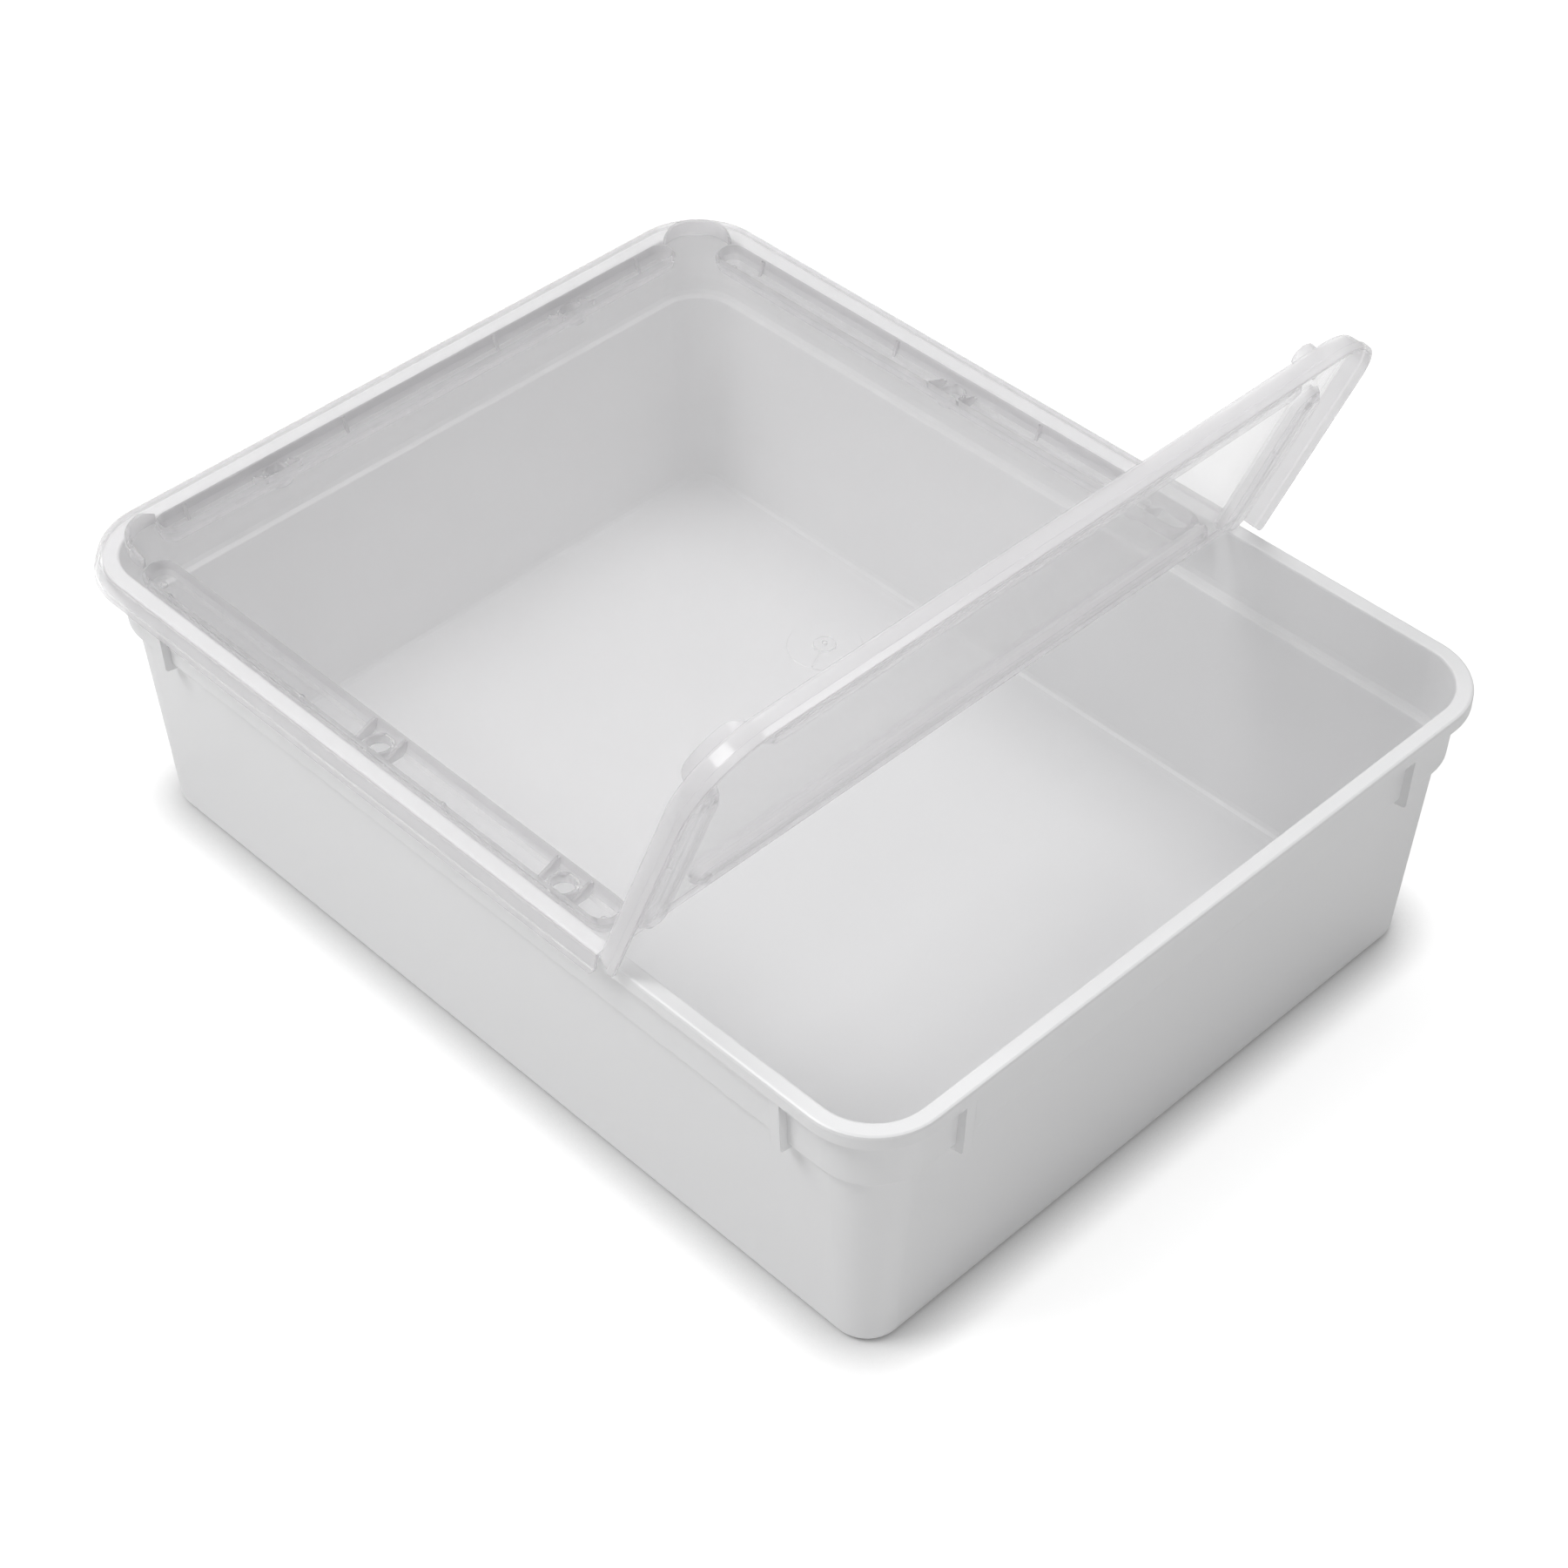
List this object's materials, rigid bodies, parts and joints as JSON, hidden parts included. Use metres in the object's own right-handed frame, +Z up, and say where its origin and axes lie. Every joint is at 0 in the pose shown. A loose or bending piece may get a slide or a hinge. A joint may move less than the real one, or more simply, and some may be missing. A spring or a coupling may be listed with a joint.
{
  "type": "plastic pet keeper with a folding lid",
  "caption": "Low rectangular breeding tub in milky white plastic with a clear clip-on lid; the lid's end part folds up on a thin film hinge to reach into the tub.",
  "frame": {"origin": "Centre of the tub's base on the plane it rests on", "axes": "+X along the length towards the end that folds up, +Y to the back, +Z up"},
  "size_m": [0.3833, 0.2986, 0.2202],
  "materials": {
    "tub_plastic": "satin moulded polypropylene",
    "lid_clear": "clear, slightly milky polypropylene",
    "film_clear": "thinned clear polypropylene"
  },
  "bodies": {
    "tub": {"tub": "tub_plastic"},
    "fixed_half": {"lid_fixed_half": "lid_clear"},
    "flap": {"lid_flap": "lid_clear", "hinge_film": "film_clear"}
  },
  "joints": [
    {"name": "lid_lift", "type": "slide", "parent": "tub", "child": "fixed_half", "axis": [0, 0, 1], "range_m": [0, 0.1]},
    {"name": "flap_hinge", "type": "hinge", "parent": "fixed_half", "child": "flap", "pos_m": [0.0767, 0, 0.1134], "axis": [0, -1, 0], "range_deg": [-69, 95], "deforming": ["hinge_film"]}
  ]
}
